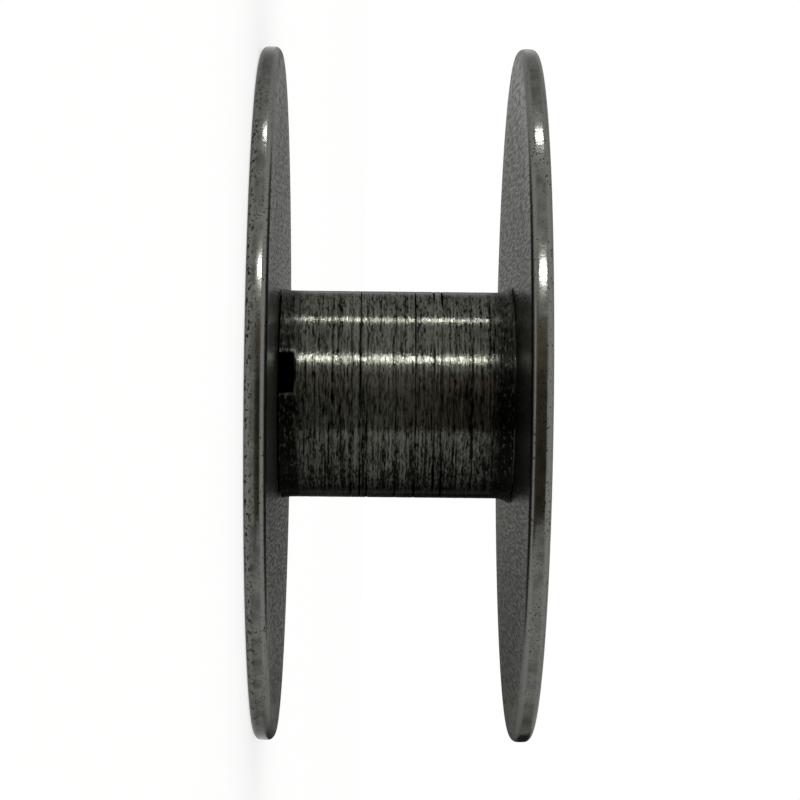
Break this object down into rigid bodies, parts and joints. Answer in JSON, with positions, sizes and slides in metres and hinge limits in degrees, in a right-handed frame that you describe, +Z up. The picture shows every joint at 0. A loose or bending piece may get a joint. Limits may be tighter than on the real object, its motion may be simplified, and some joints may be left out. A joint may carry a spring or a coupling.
{
  "type": "sewing machine bobbin",
  "caption": "Steel bobbin for sewing thread: a bored core tube with a thread notch and a flat round flange swaged onto each end.",
  "frame": {"origin": "centre of the lower flange's outer face, on the bobbin's axis", "axes": "+Z up the bobbin's axis from the notched end to the plain end; the thread notch faces -Y"},
  "size_m": [0.0254, 0.0254, 0.0101],
  "materials": {
    "turned_steel": "fine turned, with rings round the barrel",
    "pressed_steel": "dull rolled sheet, worn and lightly pitted, rims tumbled round"
  },
  "bodies": {
    "root": {"core_tube": "turned_steel", "lower_flange": "pressed_steel", "upper_flange": "pressed_steel"}
  },
  "joints": []
}
